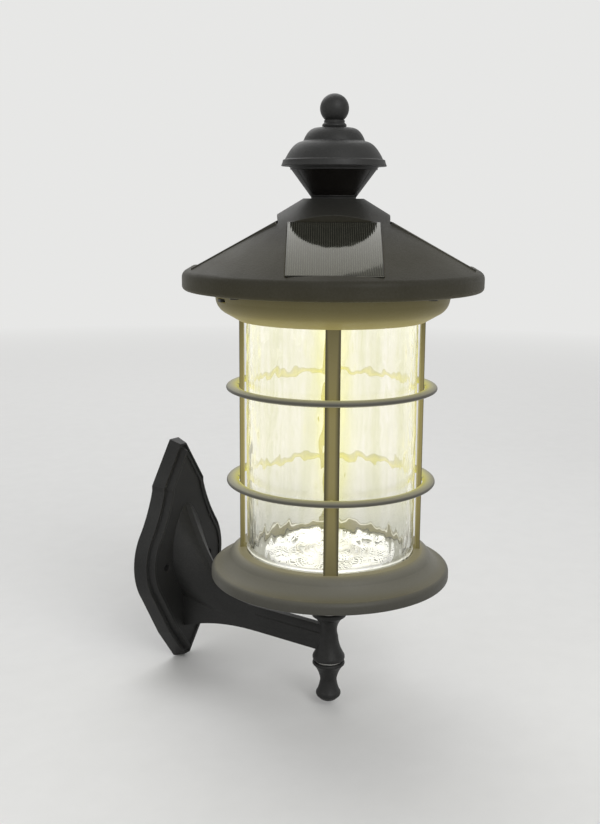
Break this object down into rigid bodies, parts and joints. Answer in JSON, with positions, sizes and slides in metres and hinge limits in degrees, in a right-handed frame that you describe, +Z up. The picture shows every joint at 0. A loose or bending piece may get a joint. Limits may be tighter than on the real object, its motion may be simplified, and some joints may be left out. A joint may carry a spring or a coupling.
{
  "type": "solar wall lantern",
  "caption": "Solar wall lantern with a glass cylinder in a cage, a wide roof with solar panels and a motion sensor, turning on a swan arm.",
  "frame": {"origin": "centre of the wall plate's back face", "axes": "+Y into the wall, -Y out along the arm, +Z up, +X to the right when facing the wall; the lantern's axis stands at y = -0.15 m"},
  "size_m": [0.206, 0.253, 0.4358],
  "materials": {
    "casing": "cast aluminium, fine-textured matte black coat",
    "steel": "zinc plated",
    "rubber": "soft",
    "glass": "clear, rippled",
    "reflector": "bright, stepped",
    "panel": "gloss over fine grid lines",
    "window": "gloss black",
    "lens": "milky",
    "led": "yellow phosphor",
    "dark_plastic": "moulded",
    "board": "solder mask",
    "cell": "shrink sleeve"
  },
  "bodies": {
    "bracket": {"wall_plate": "casing", "bracket_arm": "casing", "arm_screws": "steel"},
    "lantern": {"stem_bolt": "steel", "pivot_washer": "steel", "base_dish": "casing", "base_pan": "casing", "pan_screws": "steel", "reflector": "reflector", "reflector_carrier": "dark_plastic", "reflector_screws": "steel", "lower_gasket": "rubber", "upper_gasket": "rubber", "glass_cylinder": "glass", "cage_bar_front": "casing", "cage_bar_right": "casing", "cage_bar_back": "casing", "cage_bar_left": "casing", "ring_lower": "casing", "ring_upper": "casing", "ring_rivets": "steel", "bar_screws": "steel", "lower_cup": "casing", "led_lens": "lens", "led_board": "board", "led_emitters": "led", "led_screws": "steel", "switch_body": "dark_plastic", "battery_tray": "dark_plastic", "battery_cells": "cell", "control_board": "board", "roof_shell": "casing", "roof_screws": "steel", "solar_panel_front": "panel", "solar_panel_right": "panel", "solar_panel_back": "panel", "solar_panel_left": "panel", "sensor_housing": "casing", "sensor_window": "window", "pir_board": "board", "finial_cap": "casing", "finial_collar": "casing", "ball_finial": "casing", "tie_rod": "steel", "tie_nut": "steel"},
    "switch_knob": {"mode_switch": "dark_plastic"},
    "clamp_washer": {"finial_washer": "steel"},
    "finial_nut": {"lower_finial": "casing"}
  },
  "joints": [
    {"name": "head_turn", "type": "hinge", "parent": "bracket", "child": "lantern", "pos_m": [0, -0.15, -0.018], "axis": [0, 0, 1], "continuous": true},
    {"name": "mode_slide", "type": "slide", "parent": "lantern", "child": "switch_knob", "axis": [-0.5299, -0.848, 0], "range_m": [-0.005, 0.005]},
    {"name": "finial_unscrew", "type": "hinge", "parent": "clamp_washer", "child": "finial_nut", "pos_m": [0, -0.15, -0.057], "axis": [0, 0, -1], "range_deg": [0, 1446]},
    {"name": "finial_drop", "type": "slide", "parent": "lantern", "child": "clamp_washer", "axis": [0, 0, -1], "range_m": [0, 0.005]}
  ],
  "couplings": [
    {"joint": "finial_unscrew", "follows": "finial_drop", "rad_per_m": 5026.5}
  ]
}
